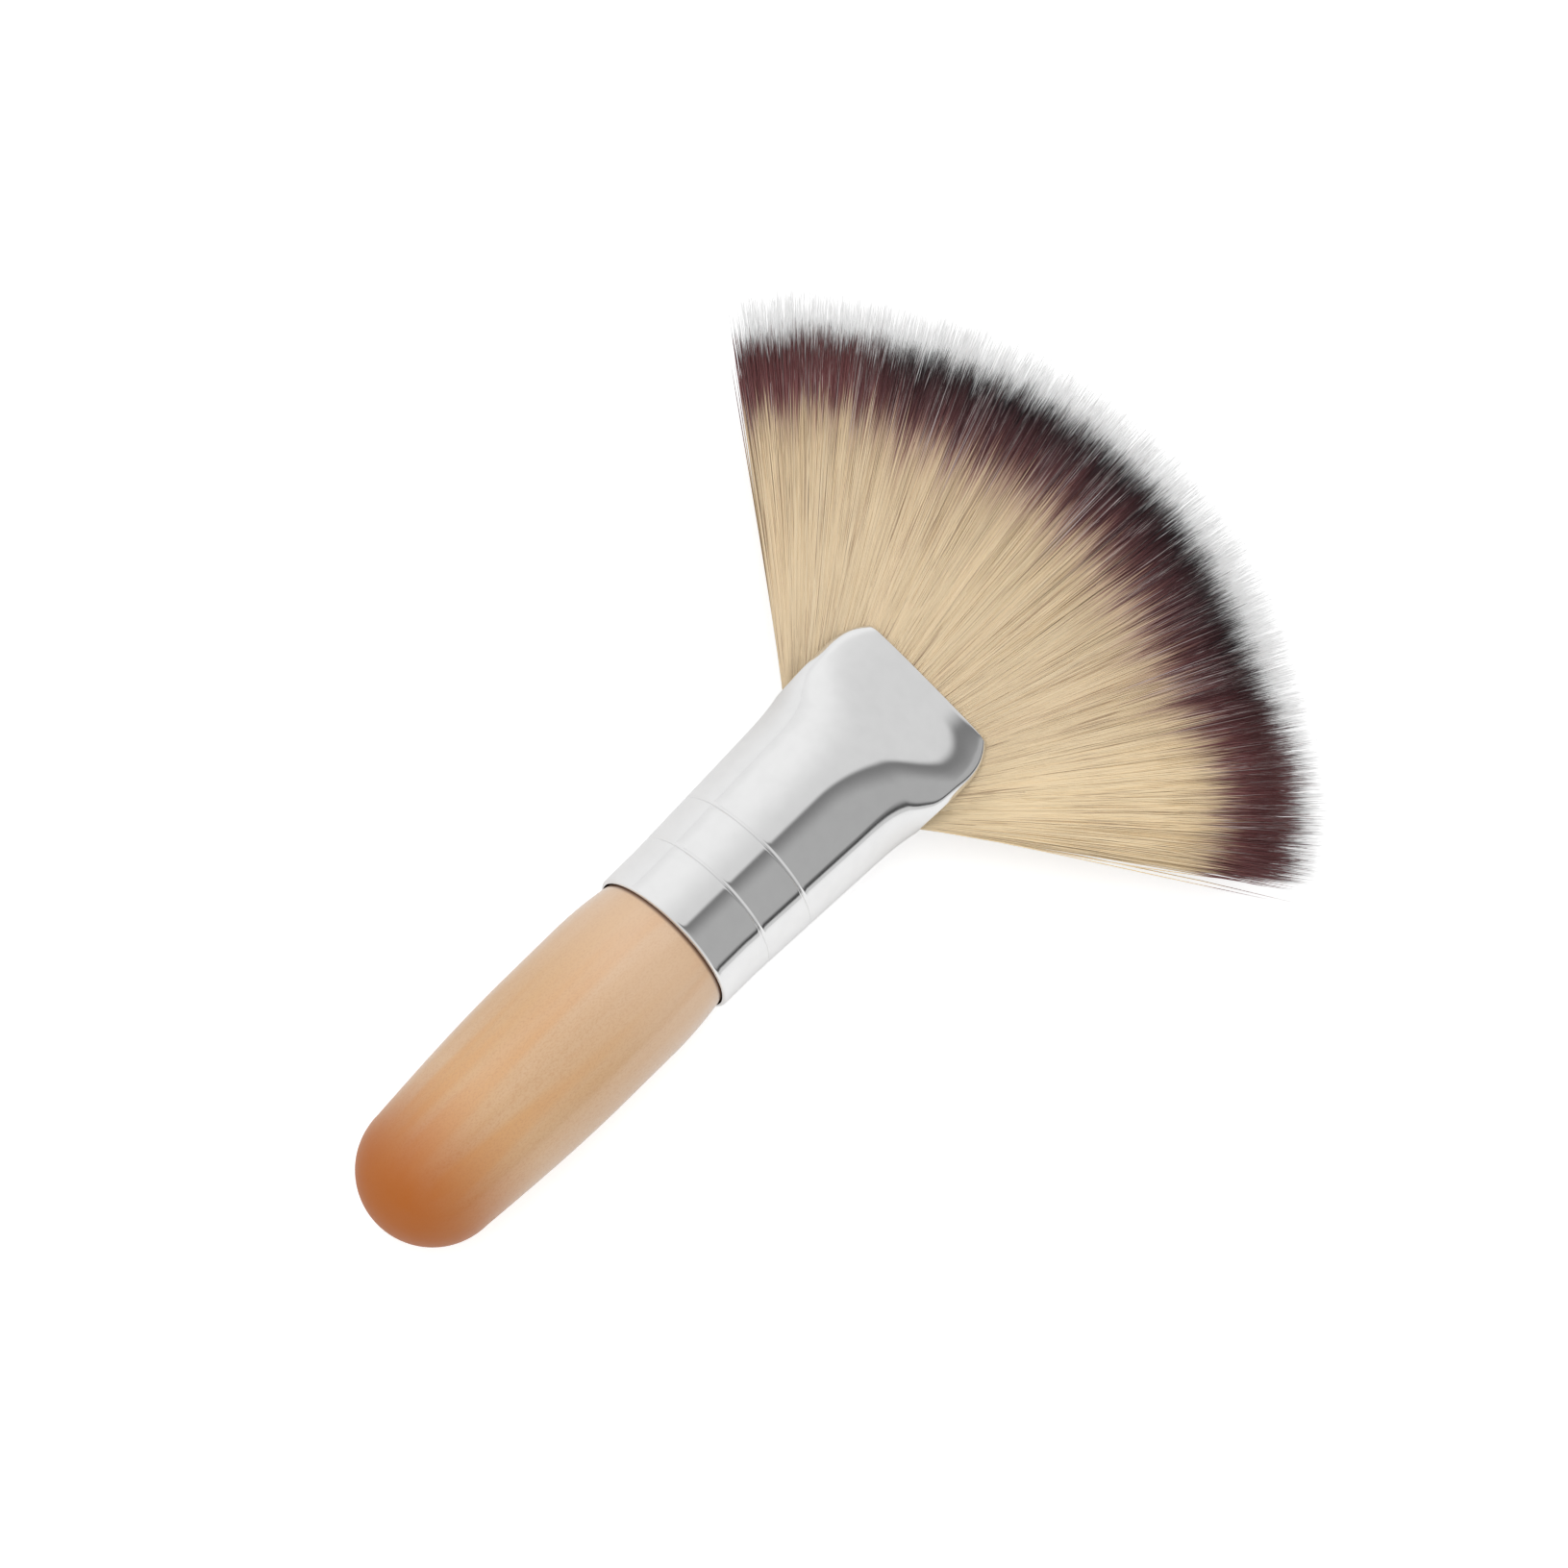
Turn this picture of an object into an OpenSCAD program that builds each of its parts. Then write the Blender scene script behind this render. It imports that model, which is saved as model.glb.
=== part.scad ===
// Fan makeup brush, lying on a table: the handle's butt points to -Y, the fan to +Y and +Z is up.
// Every piece is worked out along the brush's own axis, with y = 0 where the ferrule ends on the
// handle, and then laid on the table. All sizes are in millimetres, and angles are in degrees.

/* [Handle] */
// Length of the handle that shows, from the ferrule's lip to the end of the butt
handle_len = 35; // [28:0.5:60]
// Radius of the barrel at its widest
barrel_r = 7.4; // [7.2:0.05:8]
// Length of the straight stretch at the barrel's widest
grip_len = 6; // [2:0.5:10]
// Distance from the ferrule's lip back to that straight stretch
grip_setback = 6; // [4:0.5:10]
// Radius of the domed butt
butt_r = 6.6; // [5.5:0.1:7.2]
// Length of the tenon inside the ferrule
tenon_len = 12; // [8:0.5:13]
// Chamfer on the tenon's end
tenon_chamfer = 0.6; // [0.2:0.1:1.5]

/* [Ferrule] */
// Length of the ferrule from lip to mouth
ferrule_len = 33; // [30:0.5:42]
// Outer radius of the ferrule where it is round
ferrule_r = 7.4; // [7.2:0.05:8]
// Thickness of the metal
ferrule_wall = 0.3; // [0.25:0.05:0.5]
// Widening of each side, for each millimetre of length
ferrule_flare = 0.04; // [0:0.005:0.06]
// Height at which that widening starts
flare_start = 4; // [2:0.5:5]
// Distance from the mouth down to where the pressing starts
press_depth = 16; // [13:0.5:18]
// Length over which the tube is pressed flat
press_len = 14.5; // [10:0.5:16]
// Width that the pressed oval would have at the mouth if it weren't notched
mouth_oval_w = 22; // [20:0.5:26]
// Outer thickness of the mouth
mouth_t = 6; // [4:0.25:8]
// Width of the mouth between its corners
mouth_w = 14.4; // [10:0.2:16]
// Depth of the notch in each side of the mouth
notch_depth = 9.7; // [7:0.1:11]
// Length of the rounded corners of the front and back tongues
corner_len = 4.6; // [2:0.1:6]
// How far each tongue swells sideways above the bottom of the notch
tongue_swell = 0.2; // [0:0.05:0.5]
// Rounding of the lip that is rolled in on the handle
lip_round = 0.22; // [0.1:0.01:0.24]
// Height of the lower crimp
crimp_low = 5.6; // [3:0.1:7]
// Distance from the lower crimp to the upper one
crimp_pitch = 5; // [3:0.1:6]
// Depth of a crimp
crimp_depth = 0.14; // [0.05:0.01:0.18]
// Width of a crimp
crimp_w = 0.5; // [0.3:0.05:1]

/* [Glue] */
// Film of glue between the tenon and the ferrule
glue_film = 0.2; // [0.19:0.01:0.3]
// Film of glue between the tenon's end and the plug
plug_film = 0.1; // [0.05:0.05:0.3]
// Clearance of the plug in the ferrule
plug_fit = 0.05; // [0.03:0.01:0.1]
// Thickness of the plug that holds the bristle roots
plug_t = 4; // [3:0.25:5]
// Depth to which the roots are set in the plug
root_depth = 2.5; // [1:0.25:2.75]
// Rim of the plug around the roots
plug_rim = 0.8; // [0.5:0.1:1.5]

/* [Bristles] */
// Reach of the longest bristles past the mouth
fan_reach = 32; // [24:0.5:45]
// Angle from the brush's axis to each side of the fan
fan_angle = 51; // [40:0.5:56]
// How much shorter the fan's radius is at its sides
fan_side_drop = 2.6; // [0:0.1:6]
// Thickness of the fan where its sides leave the ferrule
fan_root_t = 0.6; // [0.4:0.1:1]
// Thickness of the fan near its tips
fan_tip_t = 7.6; // [5:0.2:10]
// Length over which the tips round off
tip_round_len = 5; // [3:0.25:8]
// Clearance between the bristles and what holds them
hair_gap = 0.1; // [0.08:0.01:0.2]
// Clearance added at the edges of the tongues, where the bristles come out sideways
edge_gap = 0.33; // [0.32:0.01:0.45]
// Share of the fan's thickness by which its locks stand out
lock_depth = 0.07; // [0:0.01:0.12]
// How much the tips of the locks differ in length
tip_jag = 0.9; // [0:0.1:1.5]
// Number of locks across the fan
lock_count = 28; // [12:2:32]

/* [Hidden] */

// Height of the notch's bottom, and of the place where the pressing starts
notch_y = ferrule_len - notch_depth;
press_y = ferrule_len - press_depth;
crimp_heights = [crimp_low, crimp_low + crimp_pitch];

// The tenon fits the tube with a film of glue, and the plug stands above it
tenon_r = ferrule_r - ferrule_wall - glue_film;
plug_r = ferrule_r - ferrule_wall - plug_fit;
plug_y = tenon_len + plug_film;
plug_top = plug_y + plug_t;
root_y = plug_top - root_depth;
pocket_r = plug_r - plug_rim;

// Steps in the meshes of the ferrule and the fan
notch_steps = 10;
tongue_steps = 7;
rise_steps = 13;
bore_steps = 12;
fan_rows = 20;
fan_columns = 2 * lock_count;

function smooth(s) = let (c = min(1, max(0, s))) c * c * (3 - 2 * c);

// Share of the pressing that is done at height y, and the outer half width and half thickness there
function pressed(y) = pow(smooth((y - press_y) / press_len), 1.5);
function flared_r(y) = ferrule_r + ferrule_flare * max(0, y - flare_start);
function tube_half_w(y) = flared_r(y) + (mouth_oval_w / 2 - flared_r(ferrule_len)) * pow(pressed(y), 1.5);
function tube_half_t(y) = ferrule_r - (ferrule_r - mouth_t / 2) * pressed(y);

// Half width of a tongue at height y: it leaves the tube's side at the bottom of the notch, swells a
// little and comes in to the mouth's corner
function tongue_half_w(y) =
    let (
        side = tube_half_w(notch_y),
        rise = (y - notch_y) / notch_depth,
        corner = max(0, y - (ferrule_len - corner_len)) / corner_len
    )
    side + tongue_swell * sin(180 * rise) - (side - mouth_w / 2) * pow(corner, 3);

// How far the outside lies below the plain tube: the rolled lip, and the two crimps
function lip_inset(y) =
    y < lip_round ? lip_round - sqrt(lip_round * lip_round - pow(lip_round - y, 2)) : 0;
function crimp_inset(y, c) =
    abs(y - c) < crimp_w / 2 ? crimp_depth * (1 + cos(360 * (y - c) / crimp_w)) / 2 : 0;
function inset(y) = lip_inset(y) + crimp_inset(y, crimp_heights[0]) + crimp_inset(y, crimp_heights[1]);

// Columns of one quarter of the ferrule, as [angle, height of the top edge]: up the edge of the notch
// to the mouth's corner, and then along the mouth to the middle of the tongue
notch_columns = [
    for (k = [0:notch_steps])
        let (y = notch_y + notch_depth * pow(k / notch_steps, 1.6))
        [acos(min(1, tongue_half_w(y) / tube_half_w(y))), y]
];
corner_angle = notch_columns[notch_steps][0];
tongue_columns = [
    for (k = [1:tongue_steps])
        [corner_angle + (90 - corner_angle) * k / tongue_steps, ferrule_len]
];
quarter = concat(notch_columns, tongue_columns);
last = notch_steps + tongue_steps;

// All columns: the quarter, and its mirror images round the tube
columns = concat(
    quarter,
    [for (k = [last - 1:-1:1]) [180 - quarter[k][0], quarter[k][1]]],
    [for (k = [0:last]) [180 + quarter[k][0], quarter[k][1]]],
    [for (k = [last - 1:-1:1]) [360 - quarter[k][0], quarter[k][1]]]
);

// Heights of the rows below the pressed part, outside and in the bore
lip_rows = [for (k = [0:4]) lip_round * (1 - cos(22.5 * k))];
crimp_rows = [for (c = crimp_heights, k = [-2:2]) c + crimp_w * k / 4];
between_rows = [for (k = [1:2]) crimp_heights[1] + (press_y - crimp_heights[1]) * k / 3];
outer_rows = [
    for (y = concat(lip_rows, [crimp_low / 2], crimp_rows, between_rows))
        if (y < press_y - crimp_w) y
];
bore_rows = [0, flare_start, (flare_start + press_y) / 2];

function outer_point(column, y) =
    [
        (tube_half_w(y) - inset(y)) * cos(column[0]),
        y,
        (tube_half_t(y) - inset(y)) * sin(column[0])
    ];
function bore_point(column, y) =
    [
        (tube_half_w(y) - ferrule_wall) * cos(column[0]),
        y,
        (tube_half_t(y) - ferrule_wall) * sin(column[0])
    ];
function rise(column, share) = press_y + (column[1] - press_y) * share;

outer_rings = concat(
    [for (y = outer_rows) [for (c = columns) outer_point(c, y)]],
    [for (k = [0:rise_steps]) [for (c = columns) outer_point(c, rise(c, k / rise_steps))]]
);
bore_rings = concat(
    [for (k = [bore_steps:-1:0]) [for (c = columns) bore_point(c, rise(c, k / bore_steps))]],
    [for (k = [len(bore_rows) - 1:-1:0]) [for (c = columns) bore_point(c, bore_rows[k])]]
);

// Where the fan's rays meet: the outermost ones leave the bore at the bottom of the notches
function hair_half_w(y) = tube_half_w(y) - ferrule_wall - hair_gap;
function hair_half_t(y) = tube_half_t(y) - ferrule_wall - hair_gap;
fan_start_w = hair_half_w(notch_y) - edge_gap;
fan_centre = notch_y - fan_start_w / tan(fan_angle);
fan_radius = ferrule_len + fan_reach - fan_centre;

// Half thickness of the fan at x and y: it fills the space between the tongues, and thickens
// evenly from their edge to the tips
function fan_half_t(x, y) =
    let (
        edge_y = min(y, ferrule_len),
        edge_x = min(abs(x), tongue_half_w(edge_y)),
        held_w = hair_half_w(edge_y) - edge_gap,
        oval_t = hair_half_t(edge_y) * sqrt(max(0, 1 - pow(edge_x / held_w, 2))),
        held = max(fan_root_t / 2, oval_t),
        free = norm([abs(x) - edge_x, y - edge_y])
    )
    held + (fan_tip_t / 2 - held) * min(1, free / fan_reach);

// Each lock is a ridge column between two furrows, and no two stand out or reach out alike
function is_ridge(j) = j % 2 == 1;
function unlike(j) = 0.75 + 0.25 * sin(137.5 * j);
function column_angle(j) = fan_angle * (1 - 2 * j / fan_columns);
function lock_scale(j) = is_ridge(j) ? 1 : 1 - 2 * lock_depth * unlike(j);
function tip_radius(j) =
    let (across = column_angle(j) / fan_angle)
    fan_radius - fan_side_drop * across * across - (is_ridge(j) ? 0 : tip_jag * unlike(j));

// Rows of the tuft as one point a column, each [x, y, half thickness]. In the plug and the tube a row
// is an oval, and from the notch on it spreads along the rays
function oval_row(y, half_w, half_t) = [
    for (j = [0:fan_columns])
        let (across = tan(column_angle(j)) / tan(fan_angle))
        [half_w * across, y, half_t * sqrt(max(0, 1 - across * across))]
];
function fan_row(share) = [
    for (j = [0:fan_columns])
        let (
            angle = column_angle(j),
            start = (notch_y - fan_centre) / cos(angle),
            r = start + (tip_radius(j) - start) * share,
            x = r * sin(angle),
            y = fan_centre + r * cos(angle),
            to_tip = tip_radius(j) - r,
            rounding = sqrt(max(0.04, 1 - pow(max(0, 1 - to_tip / tip_round_len), 2))),
            locks = 1 + (lock_scale(j) - 1) * smooth(share)
        )
        [x, y, j == 0 || j == fan_columns ? 0 : fan_half_t(x, y) * rounding * locks]
];
tuft_rows = concat(
    [
        oval_row(root_y + hair_gap, pocket_r - hair_gap, pocket_r - hair_gap),
        oval_row(plug_top + hair_gap, pocket_r - hair_gap, pocket_r - hair_gap),
        oval_row(plug_top + 2 * hair_gap, hair_half_w(plug_top), hair_half_t(plug_top)),
        oval_row((plug_top + notch_y) / 2, hair_half_w((plug_top + notch_y) / 2),
                 hair_half_t((plug_top + notch_y) / 2)),
        oval_row(notch_y, fan_start_w, hair_half_t(notch_y))
    ],
    [for (k = [1:fan_rows]) fan_row(pow(k / fan_rows, 1.25))]
);

// The brush's axis lies one barrel radius above the table, and the origin is under its middle
module laid_down() {
    translate([0, (handle_len - ferrule_len - fan_reach) / 2, max(barrel_r, ferrule_r)])
        children();
}

// Turns a profile of [radius, height] about the brush's axis
module turned() {
    rotate([-90, 0, 0])
        rotate_extrude($fn = 96)
            children();
}

// Half of the handle's outline: the domed butt, the swell up to the straight grip, the arc down to the
// ferrule's lip and the chamfered tenon
module handle_outline() {
    butt_y = butt_r - handle_len;
    grip_back = -grip_setback - grip_len;
    swell = [
        for (k = [0:16])
            [butt_r + (barrel_r - butt_r) * sin(90 * k / 16), butt_y + (grip_back - butt_y) * k / 16]
    ];
    shoulder = [
        for (k = [0:8])
            [barrel_r - (barrel_r - tenon_r) * pow(k / 8, 2), grip_setback * (k / 8 - 1)]
    ];
    polygon(concat(
        [[0, butt_y]],
        swell,
        shoulder,
        [[tenon_r, tenon_len - tenon_chamfer], [tenon_r - tenon_chamfer, tenon_len], [0, tenon_len]]
    ));
    intersection() {
        translate([0, butt_y])
            circle(r = butt_r, $fn = 96);
        translate([0, butt_y - butt_r])
            square([butt_r, butt_r]);
    }
}

module handle() {
    color([0.84, 0.69, 0.54])
        laid_down()
            turned()
                handle_outline();
}

// A shell whose rings run up the outside and down the bore, and close on themselves
module ferrule() {
    rings = concat(outer_rings, bore_rings);
    around = len(columns);
    count = len(rings);
    faces = [
        for (i = [0:count - 1], j = [0:around - 1])
            let (
                a = i * around + j,
                b = i * around + (j + 1) % around,
                c = ((i + 1) % count) * around + (j + 1) % around,
                d = ((i + 1) % count) * around + j
            )
            each [[a, b, c], [a, c, d]]
    ];
    color([0.84, 0.85, 0.86])
        laid_down()
            polyhedron(points = [for (ring = rings) each ring], faces = faces, convexity = 6);
}

// A disc with a pocket for the bristle roots
module glue_plug() {
    color([0.78, 0.62, 0.38])
        laid_down()
            turned()
                difference() {
                    translate([0, plug_y])
                        square([plug_r, plug_t]);
                    translate([0, root_y])
                        square([pocket_r, root_depth + 1]);
                }
}

// The tuft: each row runs over the front and back along the underside, and the ends are strips
module bristles() {
    around = 2 * fan_columns;
    top_row = len(tuft_rows) - 1;
    points = [
        for (row = tuft_rows)
            each concat(
                row,
                [for (j = [fan_columns - 1:-1:1]) [row[j][0], row[j][1], -row[j][2]]]
            )
    ];
    sides = [
        for (i = [0:top_row - 1], j = [0:around - 1])
            let (
                a = i * around + j,
                b = i * around + (j + 1) % around,
                c = (i + 1) * around + (j + 1) % around,
                d = (i + 1) * around + j
            )
            each [[a, b, c], [a, c, d]]
    ];
    ends = [
        for (j = [0:fan_columns - 1])
            let (
                j_under = (around - j) % around,
                k_under = around - j - 1,
                tip = top_row * around
            )
            each concat(
                j > 0 ? [[j, j_under, j + 1], [tip + j, tip + j + 1, tip + j_under]] : [],
                j < fan_columns - 1
                    ? [[j + 1, j_under, k_under], [tip + j + 1, tip + k_under, tip + j_under]]
                    : []
            )
    ];
    color([0.86, 0.77, 0.64])
        laid_down()
            polyhedron(points = points, faces = concat(sides, ends), convexity = 8);
}

handle();
ferrule();
glue_plug();
bristles();
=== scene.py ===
"""Fan makeup brush lying on a white table: a turned wooden handle, a pressed metal ferrule and a fan of
dyed filaments. Shapes are worked out in the brush's own frame, with y = 0 where the ferrule ends on the
handle and the axis along y, and are then laid on the table. Lengths are in metres."""

import math

import bpy
import numpy as np
from mathutils import Matrix, Vector


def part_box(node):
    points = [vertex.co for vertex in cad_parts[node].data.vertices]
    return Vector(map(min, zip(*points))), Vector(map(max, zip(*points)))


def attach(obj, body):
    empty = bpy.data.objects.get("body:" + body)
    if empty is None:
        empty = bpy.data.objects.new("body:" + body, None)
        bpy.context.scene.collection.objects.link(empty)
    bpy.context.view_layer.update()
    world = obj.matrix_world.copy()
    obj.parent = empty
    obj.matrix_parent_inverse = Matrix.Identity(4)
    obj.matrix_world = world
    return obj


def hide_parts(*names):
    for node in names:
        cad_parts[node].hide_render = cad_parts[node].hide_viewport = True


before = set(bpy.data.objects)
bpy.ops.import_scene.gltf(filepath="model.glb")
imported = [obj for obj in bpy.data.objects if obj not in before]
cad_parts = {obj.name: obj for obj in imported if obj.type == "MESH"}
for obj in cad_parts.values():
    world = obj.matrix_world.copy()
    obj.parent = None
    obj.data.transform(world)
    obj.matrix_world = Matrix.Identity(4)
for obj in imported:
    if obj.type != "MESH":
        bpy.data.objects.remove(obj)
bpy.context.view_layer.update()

MM = 0.001

# The main sizes, from the frame
handle_low, handle_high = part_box("handle")
ferrule_low, ferrule_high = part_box("ferrule")
bristles_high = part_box("bristles")[1]
LIP_Y = ferrule_low.y
AXIS_Z = (handle_low.z + handle_high.z) / 2
BARREL_R = (handle_high.x - handle_low.x) / 2
HANDLE_LEN = LIP_Y - handle_low.y
FERRULE_LEN = ferrule_high.y - LIP_Y
FAN_REACH = bristles_high.y - ferrule_high.y

# The handle
TENON_LEN = handle_high.y - LIP_Y
TENON_R = 6.9 * MM
TENON_CHAMFER = 0.6 * MM
GRIP_LEN = 6 * MM
GRIP_SETBACK = 6 * MM
BUTT_R = 6.6 * MM

# The ferrule
FERRULE_R = 7.4 * MM
WALL = 0.3 * MM
FLARE = 0.04
FLARE_START = 4 * MM
PRESS_Y = FERRULE_LEN - 16 * MM
PRESS_LEN = 14.5 * MM
MOUTH_OVAL_W = 22 * MM
MOUTH_T = 6 * MM
MOUTH_W = 14.4 * MM
NOTCH_DEPTH = 9.7 * MM
NOTCH_Y = FERRULE_LEN - NOTCH_DEPTH
CORNER_LEN = 4.6 * MM
TONGUE_SWELL = 0.2 * MM
OVAL_POWER = 2.0
TONGUE_POWER = 2.7
FLATTEN_LEN = 5 * MM
EDGE_ROLL = 0.4 * MM
EDGE_ROLL_W = 1.0 * MM
EDGE_ROLL_START = 1.5 * MM
EDGE_ROLL_LEN = 3 * MM
LIP_ROUND = 0.35 * MM
PLAIN_START = 0.6 * MM
CRIMP_HEIGHTS = (5.6 * MM, 10.6 * MM)
CRIMP_DEPTH = 0.14 * MM
CRIMP_W = 0.5 * MM

# The fan
FAN_ANGLE = math.radians(51)
SIDE_DROP = 2.6 * MM
FAN_ROOT_T = 0.6 * MM
FAN_TIP_T = 7.6 * MM
TIP_ROUND_LEN = 5 * MM
HAIR_GAP = 0.1 * MM
EDGE_GAP = 0.33 * MM
LOCK_COUNT = 28
LOCK_DEPTH = 0.07
LOCK_DIP = 0.27 * MM


# Arithmetic on shader sockets

class Signal:
    """A shader socket. Arithmetic on it adds Math nodes to its tree."""

    def __init__(self, tree, socket):
        self.tree = tree
        self.socket = socket

    def math(self, operation, *values):
        return self.tree.node("ShaderNodeMath", {"operation": operation}, dict(enumerate(values)))

    def __add__(self, other):
        return self.math("ADD", self, other)

    def __radd__(self, other):
        return self.math("ADD", other, self)

    def __sub__(self, other):
        return self.math("SUBTRACT", self, other)

    def __rsub__(self, other):
        return self.math("SUBTRACT", other, self)

    def __mul__(self, other):
        return self.math("MULTIPLY", self, other)

    def __rmul__(self, other):
        return self.math("MULTIPLY", other, self)

    def __truediv__(self, other):
        return self.math("DIVIDE", self, other)

    def __abs__(self):
        return self.math("ABSOLUTE", self)

    def larger(self, other):
        return self.math("MAXIMUM", self, other)

    def step(self, low, high):
        """0 below low, 1 above high and a smooth step between them."""
        settings = {"interpolation_type": "SMOOTHSTEP"}
        inputs = {"Value": self, "From Min": low, "From Max": high}
        return self.tree.node("ShaderNodeMapRange", settings, inputs)


class Tree:
    """The nodes of one material or of the world."""

    def __init__(self, owner):
        owner.use_nodes = True
        self.nodes = owner.node_tree.nodes
        self.links = owner.node_tree.links
        self.nodes.clear()

    def node(self, kind, settings=None, inputs=None, output=0):
        """Adds a node, sets its settings first, then its sockets, and returns one of its outputs."""
        made = self.nodes.new(kind)
        for name, value in (settings or {}).items():
            if name == "stops":
                self.set_stops(made.color_ramp, value)
            else:
                setattr(made, name, value)
        for name, value in (inputs or {}).items():
            if isinstance(value, Signal):
                self.links.new(value.socket, made.inputs[name])
            else:
                made.inputs[name].default_value = value
        return Signal(self, made.outputs[output]) if len(made.outputs) else made

    def set_stops(self, ramp, stops):
        while len(ramp.elements) < len(stops):
            ramp.elements.new(0.5)
        for element, (position, colour) in zip(ramp.elements, stops):
            element.position = position
            element.color = (*colour, 1)

    def mix(self, share, first, second):
        """Mixes two colours."""
        inputs = {0: share, 6: opaque(first), 7: opaque(second)}
        return self.node("ShaderNodeMix", {"data_type": "RGBA"}, inputs, output=2)

    def object_place(self):
        return self.node("ShaderNodeTexCoord", output="Object")

    def parts(self, vector):
        """The x, y and z of a vector, as three signals."""
        separate = self.node("ShaderNodeSeparateXYZ", inputs={"Vector": vector})
        return [Signal(self, socket) for socket in separate.socket.node.outputs]

    def noise(self, vector, scale, detail, roughness=0.5, dimensions="3D"):
        settings = {"noise_dimensions": dimensions}
        place = "W" if dimensions == "1D" else "Vector"
        inputs = {place: vector, "Scale": scale, "Detail": detail, "Roughness": roughness}
        return self.node("ShaderNodeTexNoise", settings, inputs)

    def grain(self, vector, scales, detail):
        """Noise with each axis scaled by itself."""
        return self.noise(self.stretched(vector, scales), 1.0, detail)

    def stretched(self, vector, scales):
        return self.node("ShaderNodeVectorMath", {"operation": "MULTIPLY"}, {0: vector, 1: scales})

    def surface(self, **inputs):
        """The Principled shader and the material's output. Underscores in names stand for spaces."""
        named = {name.replace("_", " "): value for name, value in inputs.items()}
        shader = self.node("ShaderNodeBsdfPrincipled", inputs=named)
        self.node("ShaderNodeOutputMaterial", inputs={"Surface": shader})


def opaque(colour):
    return (*colour, 1) if isinstance(colour, tuple) and len(colour) == 3 else colour


def linear(red, green, blue):
    """A colour given as it is seen, from 0 to 255, as the linear values that a shader takes."""
    shares = [value / 255 for value in (red, green, blue)]
    return tuple(s / 12.92 if s <= 0.04045 else ((s + 0.055) / 1.055) ** 2.4 for s in shares)


# Meshes from arrays

def smooth(s):
    """3 s^2 - 2 s^3, held to 0 and 1 outside."""
    s = np.clip(s, 0, 1)
    return s * s * (3 - 2 * s)


def laid_down(points):
    """The brush's own frame moved to the table: y by the lip's place, z by the axis's height."""
    return points + np.array([0, LIP_Y, AXIS_Z])


def mesh_piece(name, points, quads, triangles=None, uv=None):
    """A smooth-shaded piece from points (n, 3), quads (m, 4) and triangles (k, 3). The faces are turned
    over if the signed volume, the sum of a . (b x c) / 6 over their triangles, comes out negative."""
    triangles = np.zeros((0, 3), int) if triangles is None else triangles
    a, b, c = (points[quads[:, i]] for i in (0, 1, 2))
    d = points[quads[:, 3]]
    volume = np.einsum("ij,ij->", a, np.cross(b, c)) + np.einsum("ij,ij->", a, np.cross(c, d))
    if len(triangles):
        e, f, g = (points[triangles[:, i]] for i in (0, 1, 2))
        volume += np.einsum("ij,ij->", e, np.cross(f, g))
    if volume < 0:
        quads, triangles = quads[:, ::-1], triangles[:, ::-1]
        uv = None if uv is None else turned_uv(uv, len(quads), len(triangles))
    corners = np.concatenate([quads.ravel(), triangles.ravel()])
    starts = np.concatenate([4 * np.arange(len(quads)), 4 * len(quads) + 3 * np.arange(len(triangles))])
    mesh = bpy.data.meshes.new(name)
    mesh.vertices.add(len(points))
    mesh.vertices.foreach_set("co", points.astype(np.float32).ravel())
    mesh.loops.add(len(corners))
    mesh.loops.foreach_set("vertex_index", corners.astype(np.int32))
    mesh.polygons.add(len(starts))
    mesh.polygons.foreach_set("loop_start", starts.astype(np.int32))
    mesh.polygons.foreach_set("use_smooth", np.ones(len(starts), bool))
    mesh.update(calc_edges=True)
    if uv is not None:
        layer = mesh.uv_layers.new(name=UV_MAP)
        layer.uv.foreach_set("vector", uv.astype(np.float32).ravel())
    piece = bpy.data.objects.new(name, mesh)
    bpy.context.scene.collection.objects.link(piece)
    return piece


def turned_uv(uv, quad_count, triangle_count):
    """The corners' UV in the order of faces that were turned over."""
    quads = uv[: 4 * quad_count].reshape(quad_count, 4, 2)[:, ::-1]
    triangles = uv[4 * quad_count:].reshape(triangle_count, 3, 2)[:, ::-1]
    return np.concatenate([quads.reshape(-1, 2), triangles.reshape(-1, 2)])


def grid_quads(rows, columns, wrap_rows=False):
    """Quads of a grid whose rows each close on themselves: (i, j), (i, j+1), (i+1, j+1), (i+1, j)."""
    i = np.arange(rows if wrap_rows else rows - 1)[:, None]
    j = np.arange(columns)[None, :]
    after, right = (i + 1) % rows, (j + 1) % columns
    corners = [i * columns + j, i * columns + right, after * columns + right, after * columns + j]
    return np.stack(np.broadcast_arrays(*corners), axis=-1).reshape(-1, 4)


def pole_caps(rows, columns):
    """Triangles from the first and the last row of such a grid to its two poles, the next two points."""
    j = np.arange(columns)
    right = (j + 1) % columns
    top = (rows - 1) * columns
    first, last = rows * columns, rows * columns + 1
    return np.concatenate([np.stack([np.full_like(j, first), right, j], axis=1),
                           np.stack([np.full_like(j, last), top + j, top + right], axis=1)])


# The camera, looking down on the brush, with the fan to the upper right

AIM = Vector((-2.56, 2.95, 7.4)) * MM
CAMERA_DISTANCE = 705.2 * MM
CAMERA_AZIMUTH = math.radians(3.33)
CAMERA_ELEVATION = math.radians(72.6)
CAMERA_ROLL = math.radians(42.15)
CAMERA_LENS = 186.95
SENSOR_WIDTH = 36
CLIP_START = 10 * MM


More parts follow.
